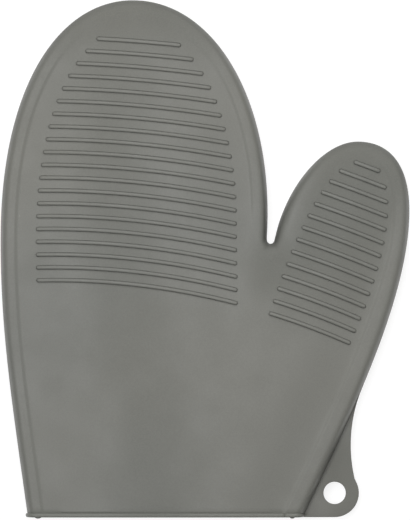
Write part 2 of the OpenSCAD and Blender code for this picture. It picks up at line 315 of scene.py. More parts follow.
STEEP_FROM, STEEP_AT_TIPS, STEEP_IN_NOTCH = (0.35, 0.85), 0.35, 0.45
CREASE_AT, CREASE_WIDE, CREASE_DEEP = 8.2 * MM, 2.3 * MM, 0.56 * MM
CREASE_OUT, CREASE_FADE = 1.9 * MM, 24 * MM
CREASE_FROM, CREASE_FROM_CROTCH = (0.55, 1.0), (4 * MM, 26 * MM)
CREASE_OUT_ACROSS = 0.0, 10 * MM
CREASE_OUT_ALONG = -50 * MM, 20 * MM

sideways = np.abs(rim_inward[:, 0])
from_crotch = np.linalg.norm(rim - np.array(crotch)[:2], axis=1)
on_thumb_inside = (rim[:, 0] > crotch.x) & (rim_inward[:, 0] > 0)
below_thumb = smoothstep(rim[:, 0], *CREASE_OUT_ACROSS) * (1 - smoothstep(rim[:, 1], *CREASE_OUT_ALONG))

rim_steep = smoothstep(sideways, *STEEP_FROM) * np.where(on_thumb_inside, STEEP_IN_NOTCH, 1.0)
rim_steep = STEEP_AT_TIPS + (1 - STEEP_AT_TIPS) * rim_steep
rim_creased = smoothstep(sideways, *CREASE_FROM) * smoothstep(from_crotch, *CREASE_FROM_CROTCH)
rim_creased[on_thumb_inside] = 0.0
rim_crease_at = CREASE_AT + CREASE_OUT * below_thumb


# ---- Height of the skin above the parting plane ----

CROWN_FROM, CROWN_WIDE, CROWN_HIGH = 0.8, 34 * MM, 1.3 * MM
GROOVE_WIDE, GROOVE_DEEP = 0.8 * MM, 0.45 * MM


def crown(far):
    """Swell of an empty mitt's palm, away from its edge."""
    return CROWN_HIGH * smoothstep(far, edge_roll * CROWN_FROM, edge_roll + CROWN_WIDE)


def crease(far, beside):
    """Depth of the step that runs beside the long edges, fades at the tips and is lost across the palm."""
    at = rim_crease_at[beside]
    step = smoothstep(far - at, -CREASE_WIDE / 2, CREASE_WIDE / 2)
    return CREASE_DEEP * rim_creased[beside] * step * (1 - smoothstep(far - at, CREASE_WIDE, CREASE_FADE))


def groove(points):
    """Depth of the groove between the skin and the cuff's bead."""
    return GROOVE_DEEP * (1 - smoothstep(points[:, 1], cuff_wall_y, cuff_wall_y + GROOVE_WIDE))


def palm_height(points):
    """Height of the palm's skin over its flat part."""
    far, beside = edge_distance(points)
    return palm_z + crown(far) - crease(far, beside)


# ---- A plan of the mitt, seen from above: rings along the outline, then an even fill ----

ROLL_TURNS = np.radians([0, 1.6, 7.5, 15, 22.5, 30, 37.5, 45, 52.5, 60, 67.5])
ROLL_FINE = 0.58 + 0.05 * np.arange(9)
CREASE_STEP = 0.45 * MM
CREASE_RINGS = 5
RING_STEP = 1.4 * MM
WIDE_RINGS = 4
FILL_STEP = 2.4 * MM
GROOVE_ROWS = np.array([0.25, 0.5, 0.75, 1.1]) * MM
FLASH = 0.12 * MM
WALL_POWER, WALL_LEAN = 9.0, 1.1

rings_end = edge_roll + CREASE_RINGS * CREASE_STEP + WIDE_RINGS * RING_STEP


def roll_share(u, steep):
    """Share of a layer's height at a share of its edge's width: round at the tips, steeper at the sides."""
    round_edge = (1 - (1 - u) ** (2 / edge_power)) ** (edge_power / 2)
    steep_edge = (1 - (1 - u) ** WALL_POWER) ** (1 / WALL_LEAN)
    return round_edge * (1 - steep) + steep_edge * steep


def ring_table(inset, flash=0.0):
    """Offsets of a layer's rings from the outline, and their places across its edge."""
    u = np.clip(np.concatenate([1 - np.cos(ROLL_TURNS) ** edge_power, ROLL_FINE]), 0, 1)
    offsets = inset + (edge_roll - inset) * u
    offsets[0] -= flash
    creases = edge_roll + CREASE_STEP * np.arange(1, CREASE_RINGS + 1)
    past = creases[-1] + RING_STEP * np.arange(1, WIDE_RINGS + 1)
    flat = np.ones(len(creases) + len(past))
    return np.concatenate([offsets, creases, past]), np.concatenate([u, flat])


def ring_points(start_y, offsets):
    """Points of the rings at the given offsets from the outline, and how many each ring has."""
    keep = rim[:, 1] >= start_y - WELD
    edge, way = rim[keep], rim_across[keep]
    points = (edge[None] + way[None] * offsets[:, None, None]).reshape(-1, 2)
    for end in (0, len(edge) - 1):
        points[end :: len(edge), 1] = start_y
    return points, len(edge)


def fill_points(ring, start_y):
    """Points between the innermost ring and the cuff: along the cuff from the thumb's side, then inside."""
    steps = max(2, round((ring[-1, 0] - ring[0, 0]) / FILL_STEP))
    base_x = np.linspace(ring[-1, 0], ring[0, 0], steps + 1)[1:-1]
    base = np.column_stack([base_x, np.full(len(base_x), start_y)])
    loop = np.concatenate([ring, base])
    low, high = loop.min(0), loop.max(0)
    across = np.arange(low[0], high[0], FILL_STEP)
    along = np.arange(low[1] + 0.8 * FILL_STEP, high[1], FILL_STEP)
    along = np.concatenate([low[1] + GROOVE_ROWS, along + FILL_STEP / 2])
    grid = np.stack(np.meshgrid(across, along), axis=-1).reshape(-1, 2)
    grid = grid[inside(grid, loop)]
    return base, grid[edge_distance(grid)[0] > rings_end + 0.5 * FILL_STEP]


class Plan:
    """A layer's points from above, outside and inside, with its faces and its two open rims."""

    def __init__(self, inset, thick, start_y, flash=0.0):
        outer_offsets, u = ring_table(inset, flash)
        inner_offsets, _ = ring_table(inset + thick)
        outer, n = ring_points(start_y, outer_offsets)
        inner, _ = ring_points(start_y, inner_offsets)
        rows = len(outer_offsets)
        base, grid = fill_points(outer[-n:], start_y)
        fill = np.concatenate([base, grid])
        self.outer = np.concatenate([outer, fill])
        self.inner = np.concatenate([inner, fill])
        keep = rim[:, 1] >= start_y - WELD
        share = roll_share(u[:, None], rim_steep[keep][None])
        self.share = np.concatenate([share.reshape(-1), np.ones(len(fill))])
        fill_far, fill_beside = edge_distance(fill)
        self.far = np.concatenate([np.repeat(outer_offsets, n), fill_far])
        self.beside = np.concatenate([np.tile(np.flatnonzero(keep), rows), fill_beside])
        self.faces = self.ring_faces(rows, n) + self.fill_faces(rows, n, len(base))
        self.rim_row = list(range(n))
        first = rows * n
        self.cuff_row = [r * n for r in range(rows)]
        self.cuff_row += [first + k for k in reversed(range(len(base)))]
        self.cuff_row += [r * n + n - 1 for r in reversed(range(rows))]

    @staticmethod
    def ring_faces(rows, n):
        corners = [r * n + i for r in range(rows - 1) for i in range(n - 1)]
        return [(c, c + 1, c + n + 1, c + n) for c in corners]

    def fill_faces(self, rows, n, base_count):
        first = (rows - 1) * n
        points = self.outer[first:]
        count = n + base_count
        border = [(i, (i + 1) % count) for i in range(count)]
        made = delaunay_2d_cdt([Vector(p) for p in points], border, [], 1, 1e-7)
        origin = [first + old[0] for old in made[3]]
        return [tuple(origin[v] for v in face) for face in made[2]]


def build_layer(name, plan, top, bottom):
    """A closed sheet over a plan, with the heights of its outer and inner faces."""
    n = len(plan.outer)
    verts = np.concatenate([np.column_stack([plan.outer, top]), np.column_stack([plan.inner, bottom])])
    faces = list(plan.faces) + [tuple(n + v for v in reversed(face)) for face in plan.faces]
    for row in (plan.rim_row, plan.cuff_row):
        faces += [(a, b, n + b, n + a) for a, b in zip(row[:-1], row[1:])]
    return new_object(name, verts, faces)


# ---- The thumb's share of a layer, cut off where the thumb starts to fold ----

ON_CUT = 0.02 * MM
CUT_REACH = 0.5 * MM
CAP_FACING = 0.999

thumb_axis = Vector(thumb_joint["axis"])
thumb_way = Vector((-thumb_axis.y, thumb_axis.x, 0))


def cap_holes(bm):
    """Closes the open rims that a cut left, with flat faces."""
    before = set(bm.faces)
    bmesh.ops.holes_fill(bm, edges=[e for e in bm.edges if e.is_boundary], sides=0)
    caps = [f for f in bm.faces if f not in before]
    bmesh.ops.triangulate(bm, faces=caps, ngon_method="EAR_CLIP")


def split_thumb(obj, thumb_name):
    """Cuts obj across the thumb's root. Both parts stay closed, and shade as one surface."""
    bm = bmesh.new()
    bm.from_mesh(obj.data)
    right = [f for f in bm.faces if f.calc_center_median().x > crotch.x - CUT_REACH]
    geom = right + list({e for f in right for e in f.edges}) + list({v for f in right for v in f.verts})
    bmesh.ops.bisect_plane(bm, geom=geom, dist=WELD, plane_co=crotch, plane_no=thumb_way)
    bm.normal_update()
    on_seam = {
        seam_key(v.co): v.normal.copy()
        for v in bm.verts
        if abs((v.co - crotch).dot(thumb_way)) < ON_CUT and v.co.x > crotch.x - CUT_REACH
    }
    thumb = bm.copy()

    def is_thumb(face):
        centre = face.calc_center_median()
        return centre.x > crotch.x and (centre - crotch).dot(thumb_way) > 0

    bmesh.ops.delete(bm, geom=[f for f in bm.faces if is_thumb(f)], context="FACES")
    bmesh.ops.delete(thumb, geom=[f for f in thumb.faces if not is_thumb(f)], context="FACES")
    other = new_object(thumb_name, [], [])
    for part, made in ((bm, obj), (thumb, other)):
        cap_holes(part)
        part.to_mesh(made.data)
        part.free()
        finish_mesh(made)
        share_normals(made.data, on_seam)
    return obj, other


def seam_key(co):
    """A point of the cut, rounded to a hundredth of a millimetre so that both sides agree."""
    return tuple(round(float(c) / MM, 2) for c in co)


def share_normals(mesh, on_seam):
    """Gives the seam's corners the normals that the uncut surface had."""
    mesh.update()
    co = np.empty(3 * len(mesh.vertices))
    mesh.vertices.foreach_get("co", co)
    co = co.reshape(-1, 3)
    near = np.abs((co - np.array(crotch)) @ np.array(thumb_way)) < ON_CUT
    corners = np.empty(len(mesh.loops), int)
    mesh.loops.foreach_get("vertex_index", corners)
    face_of = np.repeat(np.arange(len(mesh.polygons)), [len(p.vertices) for p in mesh.polygons])
    normals = np.zeros((len(mesh.loops), 3))
    for corner in np.flatnonzero(near[corners]):
        face_normal = mesh.polygons[int(face_of[corner])].normal
        normal = on_seam.get(seam_key(co[corners[corner]]))
        is_cap = abs(face_normal.dot(thumb_way)) > CAP_FACING
        if normal is not None and not is_cap and normal.dot(face_normal) > 0.5:
            normals[corner] = normal
    mesh.normals_split_custom_set(normals)


# ======== Silicone skin ========


def skin(name, palm):
    """One half of the skin, in its hand and thumb pieces."""
    plan = Plan(0.0, silicone_t, cuff_wall_y, FLASH)
    sunk = crease(plan.far, plan.beside) + groove(plan.outer)
    if palm:
        top = parting_z + palm_rise * plan.share + crown(plan.far) - sunk * plan.share
        bottom = parting_z + (palm_rise - silicone_t) * plan.share + crown(plan.far)
    else:
        top = parting_z * (1 - plan.share) + sunk * plan.share
        bottom = parting_z - (parting_z - silicone_t) * plan.share
    return split_thumb(build_layer(name, plan, top, bottom), name + "_thumb")


# ======== Wadding and lining ========

QUILT_STEP = 24 * MM
QUILT_SLANT = math.radians(38)
QUILT_LINE = 2.2 * MM
QUILT_IN, QUILT_OUT = 0.8 * MM, 0.9 * MM
QUILT_FROM_EDGE = 2 * MM


def quilting(points, far, layer_inset):
    """Height of the quilted puffs: low along the diamond stitch lines, full between them."""
    puff = np.ones(len(points))
    for angle in (QUILT_SLANT, -QUILT_SLANT):
        along = points[:, 0] * math.sin(angle) + points[:, 1] * math.cos(angle)
        off_line = np.abs((along / QUILT_STEP) % 1.0 - 0.5) * QUILT_STEP
        puff *= 1 - np.exp(-((off_line / QUILT_LINE) ** 2))
    swell = QUILT_IN * np.sqrt(puff) - QUILT_OUT * (1 - puff)
    return swell * smoothstep(far, layer_inset + QUILT_FROM_EDGE, edge_roll + 2 * QUILT_FROM_EDGE)


def soft_layer(name, palm, inset, thick, outer_quilt, inner_quilt):
    """One half's wadding or lining, quilted towards the hand, in its hand and thumb pieces."""
    plan = Plan(inset, thick, lining_start_y)
    rise = palm_rise if palm else parting_z
    puff = quilting(plan.inner, plan.far, inset)
    outer = (rise - inset) * plan.share - outer_quilt * puff
    inner = (rise - inset - thick) * plan.share - inner_quilt * puff
    if palm:
        swell = crown(plan.far)
        layer = build_layer(name, plan, parting_z + outer + swell, parting_z + inner + swell)
    else:
        layer = build_layer(name, plan, parting_z - outer, parting_z - inner)
    return split_thumb(layer, name + "_thumb")


# ======== Cuff ========

cuff_left_x = bead_low.x + bead_out
cuff_right_x = bead_high.x - bead_out
ARCH_STEPS = 14
ARCH_SPACING = 2 * MM


class Arch:
    """Places along one half of the cuff, from the little finger's side to the thumb's."""

    def __init__(self, left_x, right_x, palm, spacing=ARCH_SPACING, marks=()):
        u = 1 - np.cos(np.linspace(0, math.pi / 2, ARCH_STEPS + 1)).clip(0) ** edge_power
        flat_left, flat_right = left_x + edge_roll, right_x - edge_roll
        steps = math.ceil((flat_right - flat_left) / spacing)
        flat = np.linspace(flat_left, flat_right, steps + 1)[1:-1]
        flat = np.unique(np.concatenate([flat, marks]))
        self.left_x, self.right_x, self.palm = left_x, right_x, palm
        self.u = np.concatenate([u, np.ones(len(flat)), u[::-1]])
        self.share = roll_share(self.u, 1.0)
        self.flat_x = np.concatenate([np.zeros(len(u)), flat, np.zeros(len(u))])
        self.side = np.concatenate([np.full(len(u), -1), np.zeros(len(flat)), np.ones(len(u))])

    def points(self, inset):
        """X and Z of the arch drawn in by inset, a number or one number for each place."""
        inset = np.broadcast_to(inset, self.u.shape)
        offset = inset + (edge_roll - inset) * self.u
        x = np.where(self.side < 0, self.left_x + offset, self.flat_x)
        x = np.where(self.side > 0, self.right_x - offset, x)
        far = np.minimum(x - self.left_x, self.right_x - x)
        if self.palm:
            z = parting_z + (palm_rise - inset) * self.share + crown(far)
        else:
            z = parting_z - (parting_z - np.maximum(inset, 0)) * self.share
        return x, z


def loft(name, rings, closed):
    """A closed solid through rings of points, joined end to end or with two flat ends."""
    count, size = rings.shape[:2]
    faces = band_faces(0, count, size, closed)
    if not closed:
        faces += end_faces(0, count, size)
    return new_object(name, rings.reshape(-1, 3), faces)


SEAM_X, SEAM_HALF, SEAM_DEEP = 43 * MM, 0.25 * MM, 0.45 * MM
BEAD_STEPS = 10
BEAD_SQUARE = 0.6
BEAD_TURN_IN = 0.2
BEAD_FLARE = 0.9
NUB_HIGH = 1.5 * MM
NUB_ROOT = 0.6 * MM
NUB_STEPS = 8
NUBS = ((-90.3 * MM, 3.8 * MM), (47.2 * MM, 3.0 * MM))


def bead_section():
    """The bead's section as (inset, y): round outside, with its upper corner falling into the groove."""
    mid_y = (cuff_y + cuff_wall_y) / 2
    half = (cuff_wall_y - cuff_y) / 2
    section = [(silicone_t, cuff_wall_y), (silicone_t, cuff_y), (silicone_t / 2, cuff_y)]
    for k in range(BEAD_STEPS + 1):
        angle = math.radians(180 * k / BEAD_STEPS - 90)
        round_in = bead_out + GROOVE_DEEP * smoothstep(angle, BEAD_TURN_IN, math.pi / 2)
        swell = max(math.cos(angle), 0.0) ** BEAD_SQUARE
        section.append((-bead_out + round_in * (1 - swell), mid_y + half * math.sin(angle)))
    return section


def cuff_bead(name, palm):
    """One half of the cuff's bead, with its small seam."""
    marks = [SEAM_X + k * SEAM_HALF for k in (-2, -1, 0, 1, 2)]
    arch = Arch(cuff_left_x, cuff_right_x, palm, marks=marks)
    seam = SEAM_DEEP * (1 - smoothstep(np.abs(arch.flat_x - SEAM_X), 0, 2 * SEAM_HALF)) * (arch.side == 0)
    columns = []
    for inset, y in bead_section():
        flare = inset * BEAD_FLARE * (1 - arch.u) * (inset < 0)
        x, z = arch.points(inset + flare + seam * (inset < silicone_t / 2))
        columns.append(np.column_stack([x, np.full(len(x), y), z]))
    rings = np.stack(columns, axis=1)
    return loft(name, rings, closed=False)


def add_nub(bm, x, width, depth, height):
    """A flat half-round nub below the bead, whose top is softened: it shrinks as it nears its height."""
    loops = []
    for shrink, rise in ((0, 0), (0, 0.75), (0.12, 0.93), (0.35, 1)):
        half, reach, z = width / 2 * (1 - shrink / 2), depth * (1 - shrink), height * rise
        loop = [(x - half, cuff_y + NUB_ROOT, z)]
        for k in range(NUB_STEPS + 1):
            angle = math.pi * (1 + k / NUB_STEPS)
            loop.append((x + half * math.cos(angle), cuff_y + reach * math.sin(angle), z))
        loop.append((x + half, cuff_y + NUB_ROOT, z))
        loops.append([bm.verts.new(p) for p in loop])
    for low, high in zip(loops[:-1], loops[1:]):
        for k in range(len(low)):
            j = (k + 1) % len(low)
            bm.faces.new((low[k], low[j], high[j], high[k]))
    bm.faces.new(loops[0][::-1])
    bm.faces.new(loops[-1])


def add_nubs(obj):
    """Adds the nubs below the cuff to obj."""
    bm = bmesh.new()
    bm.from_mesh(obj.data)
    for x, width in NUBS:
        add_nub(bm, x, width, cuff_y - cad_low.y, NUB_HIGH)
    bm.to_mesh(obj.data)
    bm.free()


# ---- Tape round the lining's edge, folded over it and stitched down ----

TAPE_SIDES = 18
TAPE_SQUARE_ACROSS, TAPE_SQUARE_ALONG = 0.45, 0.6
TAPE_SPACING = 1.2 * MM
TAPE_OUT, TAPE_IN = 0.1 * MM, 0.25 * MM
TAPE_WAVE, TAPE_WAVE_LONG, TAPE_SLOW_WAVES = 0.12 * MM, 5.5 * MM, 17
STITCH_STEP, STITCH_LONG, STITCH_THICK = 3.4 * MM, 2.5 * MM, 0.5 * MM
STITCH_IN = 0.9 * MM
STITCH_AHEAD = 0.1


def mouth_ring(inset_out, inset_in):
    """Inset places all round the mouth, evenly spaced: pairs of outer and inner points."""
    left_x = binding_low.x - wadding_in
    right_x = binding_high.x + wadding_in
    rows = []
    for inset in (inset_out, inset_in):
        palm = np.column_stack(Arch(left_x, right_x, True, TAPE_SPACING).points(inset))
        back = np.column_stack(Arch(left_x, right_x, False, TAPE_SPACING).points(inset))
        rows.append(np.concatenate([palm, back[::-1][1:-1]]))
    return rows


def tape_section():
    """The tape's section as (depth from 0 outside to 1 inside, y)."""
    y0, y1 = binding_low.y, binding_high.y
    mid, half = (y0 + y1) / 2, (y1 - y0) / 2
    section = []
    for k in range(TAPE_SIDES):
        angle = 2 * math.pi * k / TAPE_SIDES
        c, s = math.cos(angle), math.sin(angle)
        across = math.copysign(abs(c) ** TAPE_SQUARE_ACROSS, c)
        along = math.copysign(abs(s) ** TAPE_SQUARE_ALONG, s)
        section.append((0.5 - 0.5 * across, mid + half * along))
    return section


def mouth_tape():
    """The tape: a rounded band all round the mouth, gathered in small waves on its inner side."""
    outer, inner = mouth_ring(wadding_in + TAPE_OUT, lining_in + lining_t + TAPE_IN)
    gone = np.concatenate([[0], np.cumsum(np.linalg.norm(np.diff(inner, axis=0), axis=1))])
    total = gone[-1] + np.linalg.norm(inner[-1] - inner[0])
    turn = gone / total * 2 * math.pi
    ripple = np.sin(turn * round(total / TAPE_WAVE_LONG)) + 0.6 * np.sin(turn * TAPE_SLOW_WAVES + 1.0)
    columns = []
    for depth, y in tape_section():
        place = outer * (1 - depth) + inner * depth
        inward_way = (inner - outer) / np.linalg.norm(inner - outer, axis=1)[:, None]
        place = place + inward_way * (TAPE_WAVE * ripple * depth)[:, None]
        at_y = y + TAPE_WAVE * 0.8 * np.roll(ripple, 3)
        columns.append(np.column_stack([place[:, 0], at_y, place[:, 1]]))
    tape = loft("mouth_tape", np.stack(columns, axis=1), closed=True)
    finish_mesh(tape, sharp_degrees=60)
    add_stitches(tape, inner, gone, total)
    return tape


def add_stitches(obj, inner, gone, total):
    """Adds a row of stitches to obj along its inner line, whose points are gone metres along it."""
    bm = bmesh.new()
    bm.from_mesh(obj.data)
    y = binding_high.y - STITCH_IN
    count = round(total / STITCH_STEP)
    loop = np.concatenate([inner, inner[:1]])
    knots = np.concatenate([gone, [total]])
    for k in range(count):
        at = total * k / count
        ahead = total * ((k + STITCH_AHEAD) / count)
        a = np.array([np.interp(at, knots, loop[:, i]) for i in (0, 1)])
        b = np.array([np.interp(ahead, knots, loop[:, i]) for i in (0, 1)])
        way = Vector(((b - a)[0], 0, (b - a)[1])).normalized()
        turn = way.to_track_quat("X", "Y").to_matrix().to_4x4()
        place = Matrix.Translation((a[0], y, a[1])) @ turn
        size = Matrix.Diagonal((STITCH_LONG / 2, STITCH_THICK / 2, STITCH_THICK / 2, 1))
        bmesh.ops.create_icosphere(bm, subdivisions=2, radius=1, matrix=place @ size)
    for face in bm.faces:
        face.smooth = True
    bm.to_mesh(obj.data)
    bm.free()


# ======== Hang tab ========

TAB_EDGE = 0.55 * MM
TAB_EDGE_STEPS = 4
TAB_CLEAR = 1.6 * MM


def tab_loops():
    """The outlines of the CAD tab's top face: its outside, then its hole."""
    bm = cad_mesh("hang_tab")
    top_z = max(v.co.z for v in bm.verts)

    def is_border(edge):
        tops = [f for f in edge.link_faces if f.normal.z > FLAT]
        return len(tops) == 1 and all(is_at(v.co, top_z) for v in edge.verts)

    links = neighbours(filter(is_border, bm.edges))
    loops, left = [], set(links)
    while left:
        here = take_first(left)
        loop = [here]
        while True:
            ahead = [v for v in links[here] if v in left]
            if not ahead:
                break
            here = ahead[0]
            left.discard(here)
            loop.append(here)
        loops.append(np.array([(v.co.x, v.co.y) for v in loop]))
    bm.free()
    return sorted(loops, key=len_round, reverse=True)


def len_round(loop):
    """Length of a closed loop."""
    return np.linalg.norm(np.diff(loop, axis=0, append=loop[:1]), axis=1).sum()


def resampled(loop, spacing):
    """The closed loop with no step longer than spacing, running anticlockwise."""
    ahead = np.roll(loop, -1, axis=0)
    area = (loop[:, 0] * ahead[:, 1] - ahead[:, 0] * loop[:, 1]).sum()
    if area < 0:
        loop = loop[::-1]
    points = []
    for a, b in zip(loop, np.roll(loop, -1, axis=0)):
        steps = max(1, math.ceil(np.linalg.norm(b - a) / spacing))
        points += [a + (b - a) * k / steps for k in range(steps)]
    return np.array(points)


def loop_inward(loop):
    """Unit directions into an anticlockwise loop."""
    way = np.roll(loop, -1, axis=0) - np.roll(loop, 1, axis=0)
    way /= np.linalg.norm(way, axis=1)[:, None]
    return np.column_stack([-way[:, 1], way[:, 0]])


def clear_of_wall(loop):
    """Share of the rounding at each point of the tab's outline: none where the tab joins the mitt."""
    share = np.clip(edge_distance(loop)[0] / TAB_CLEAR, 0, 1)
    share[inside(loop, rim)] = 0
    return share


def hang_tab():
    """The tab with its hole, its edges rounded except where it joins the mitt."""
    low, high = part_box("hang_tab")
    outside, hole_loop = (resampled(loop, MM) for loop in tab_loops())
    turns = [math.pi / 2 * k / TAB_EDGE_STEPS for k in range(TAB_EDGE_STEPS + 1)]
    insets = [TAB_EDGE * (1 - math.cos(angle)) for angle in turns]
    depths = [TAB_EDGE * (1 - math.sin(angle)) for angle in turns]
    rings = [(inset, low.z + depth) for inset, depth in zip(insets, depths)][::-1]
    rings += [(inset, high.z - depth) for inset, depth in zip(insets, depths)]
    verts, faces, rims = [], [], []
    for loop, way in ((outside, 1), (hole_loop, -1)):
        inward = loop_inward(loop) * way * clear_of_wall(loop)[:, None]
        size, first = len(loop), len(verts)
        for inset, z in rings:
            verts += [(x, y, z) for x, y in loop + inward * inset]
        faces += band_faces(first, len(rings), size)
        last = first + (len(rings) - 1) * size
        rims.append((list(range(first, first + size)), list(range(last, last + size))))
    for level in (0, 1):
        ids = rims[0][level] + rims[1][level]
        flat = [Vector(verts[i][:2]) for i in ids]
        n, m = len(rims[0][level]), len(rims[1][level])
        border = [(i, (i + 1) % n) for i in range(n)] + [(n + i, n + (i + 1) % m) for i in range(m)]
        made = delaunay_2d_cdt(flat, border, [], 1, 1e-7)
        origin = [ids[old[0]] for old in made[3]]
        triangles = made[2]
        centres = np.array([np.mean([made[0][v][:] for v in f], axis=0) for f in triangles])
        in_hole = inside(centres, np.array([v[:] for v in flat[n:]]))
        faces += [tuple(origin[v] for v in f) for f, gone in zip(triangles, in_hole) if not gone]
    tab = new_object("hanging_tab", verts, faces)
    finish_mesh(tab, sharp_degrees=60)
    return tab


# ======== Grip ribs ========

RIB_SPACING = 1.6 * MM
RIB_ROOT = 0.35 * MM
RIB_FLARE = 0.12 * MM
RIB_SIDES = 12
RIB_POWER = 0.85
RIB_END_FALL = 0.7
RIB_END_TURNS = np.radians([82, 65, 45, 25])


def rib_crests(node):
    """The crest of each rib of a CAD node, as a line of points."""
    bm = cad_mesh(node)
    top = max(v.co.z for v in bm.verts)
    left, lines = set(bm.verts), []
    while left:
        stack, island = [take_first(left)], []
        while stack:
            v = stack.pop()
            island.append(v)
            for edge in v.link_edges:
                other = edge.other_vert(v)
                if other in left:
                    left.discard(other)
                    stack.append(other)
        crest = sorted((v.co.x, v.co.y) for v in island if is_at(v.co, top))
        lines.append(np.array(crest))
    bm.free()
    return lines


def rib_frame(crest):
    """Evenly spaced places along a crest, short of its round ends, with their directions."""
    line, heading = refined(crest, RIB_SPACING)
    gone = np.concatenate([[0], np.cumsum(np.linalg.norm(np.diff(line, axis=0), axis=1))])
    keep = np.linspace(rib_height, gone[-1] - rib_height, math.ceil(gone[-1] / RIB_SPACING))
    places = np.column_stack([np.interp(keep, gone, line[:, i]) for i in (0, 1)])
    headings = np.column_stack([np.interp(keep, gone, heading[:, i]) for i in (0, 1)])
    return places, headings / np.linalg.norm(headings, axis=1)[:, None]


def rib_rings(crest):
    """Plan points and heights over the skin of one rib's rings, from end to end."""
    places, headings = rib_frame(crest)
    stations = []
    for angle in RIB_END_TURNS:
        place = places[0] - headings[0] * rib_height * math.sin(angle)
        stations.append((place, headings[0], math.cos(angle)))
    stations += [(p, h, 1.0) for p, h in zip(places, headings)]
    for angle in RIB_END_TURNS[::-1]:
        place = places[-1] + headings[-1] * rib_height * math.sin(angle)
        stations.append((place, headings[-1], math.cos(angle)))
    plan_points, heights = [], []
    for place, heading, share in stations:
        across = np.array([-heading[1], heading[0]])
        reach = [rib_height * share + RIB_FLARE]
        height = [-RIB_ROOT]
        for k in range(RIB_SIDES + 1):
            angle = math.pi * k / RIB_SIDES
            c, s = math.cos(angle), math.sin(angle)
            reach.append(rib_height * share * math.copysign(abs(c) ** RIB_POWER, c))
            height.append(rib_height * share**RIB_END_FALL * abs(s) ** RIB_POWER)
        reach.append(-rib_height * share - RIB_FLARE)
        height.append(-RIB_ROOT)
        plan_points.append(place + np.outer(reach, across))
        heights.append(height)
    return np.array(plan_points), np.array(heights)


# Painted shade: the ribs' colour darkens towards their feet, where they meet the skin, in place of the
# shadow there.
FOOT_SHADE_ATTRIBUTE = "foot_shade"
FOOT_LOW, FOOT_HIGH = 0.3 * MM, 1.1 * MM


def mark_foot_shade(obj):
    """Stores how close each point of the ribs is to the skin, for the painted shade that darkens the ribs'
    feet.
    """
    co = np.array([v.co[:] for v in obj.data.vertices])
    rise = co[:, 2] - palm_height(co[:, :2])
    foot_shade = 1 - smoothstep(rise, FOOT_LOW, FOOT_HIGH)
    obj.data.attributes.new(FOOT_SHADE_ATTRIBUTE, "FLOAT", "POINT").data.foreach_set("value", foot_shade)
    return obj


def ribs(name, nodes):
    """All the ribs of the given CAD nodes as one piece, following the swell of the skin."""
    verts, faces = [], []
    for node in nodes:
        for crest in rib_crests(node):
            plan_points, heights = rib_rings(crest)
            count, size = heights.shape
            flat = plan_points.reshape(-1, 2)
            z = palm_height(flat) + heights.reshape(-1)
            first = len(verts)
            verts += list(np.column_stack([flat, z]))
            faces += band_faces(first, count, size) + end_faces(first, count, size)
    return mark_foot_shade(finish_mesh(new_object(name, verts, faces), sharp_degrees=75))


# ======== Materials ========


class Paint:
    """A node-based material with one Principled shader, in the object's own coordinates."""

    def __init__(self, name, roughness, ior=1.45, sheen=0.0):
        self.material = bpy.data.materials.new(name)
        self.material.use_nodes = True
        self.tree = self.material.node_tree
        self.shader = self.tree.nodes["Principled BSDF"]
        self.shader.inputs["Roughness"].default_value = roughness
        self.shader.inputs["IOR"].default_value = ior
        if sheen:
            self.shader.inputs["Sheen Weight"].default_value = sheen
            self.shader.inputs["Sheen Roughness"].default_value = 0.5
        self.coords = self.tree.nodes.new("ShaderNodeTexCoord").outputs["Object"]

    def node(self, kind, inputs, **settings):
        made = self.tree.nodes.new("ShaderNode" + kind)
        for key, value in settings.items():
            setattr(made, key, value)
        for key, value in inputs.items():
            if isinstance(value, bpy.types.NodeSocket):
                self.tree.links.new(value, made.inputs[key])
            else:
                made.inputs[key].default_value = value
        return made

    def noise(self, scale, detail=2.0, roughness=0.5):
        inputs = {"Vector": self.coords, "Scale": scale, "Detail": detail, "Roughness": roughness}
        return self.node("TexNoise", inputs).outputs["Fac"]

    def mapped(self, value, from_low, from_high, to_low, to_high):
        inputs = {0: value, 1: from_low, 2: from_high, 3: to_low, 4: to_high}
        return self.node("MapRange", inputs).outputs[0]

    def fade(self, value, whole, gone):
        """1 where value is at whole, falling softly to 0 where it is at gone."""
        inputs = {0: value, 1: whole, 2: gone, 3: 1.0, 4: 0.0}
        return self.node("MapRange", inputs, interpolation_type="SMOOTHSTEP").outputs[0]

    def maths(self, operation, a, b):
        return self.node("Math", {0: a, 1: b}, operation=operation).outputs[0]

    def mix(self, share, a, b, blend="MIX"):
        inputs = {0: share, 6: a, 7: b}
        return self.node("Mix", inputs, data_type="RGBA", blend_type=blend).outputs[2]

    def bump(self, height, strength, distance, normal=None):
        inputs = {"Height": height, "Strength": strength, "Distance": distance}
        if normal is not None:
            inputs["Normal"] = normal
        return self.node("Bump", inputs).outputs["Normal"]

    def finish(self, color, normal, roughness=None):
        self.tree.links.new(color, self.shader.inputs["Base Color"])
        self.tree.links.new(normal, self.shader.inputs["Normal"])
        if roughness is not None:
            self.tree.links.new(roughness, self.shader.inputs["Roughness"])
        return self.material


def grey(level, warmth=0.0):
    """A grey, a little yellow if warmth is given."""
    return (level * (1 + warmth), level, level * (1 - 1.6 * warmth), 1.0)


def stone(level, warmth=0.0):
    """The silicone's grey, with a trace of green."""
    return (level * (0.985 + warmth), level, level * (0.905 - warmth), 1.0)


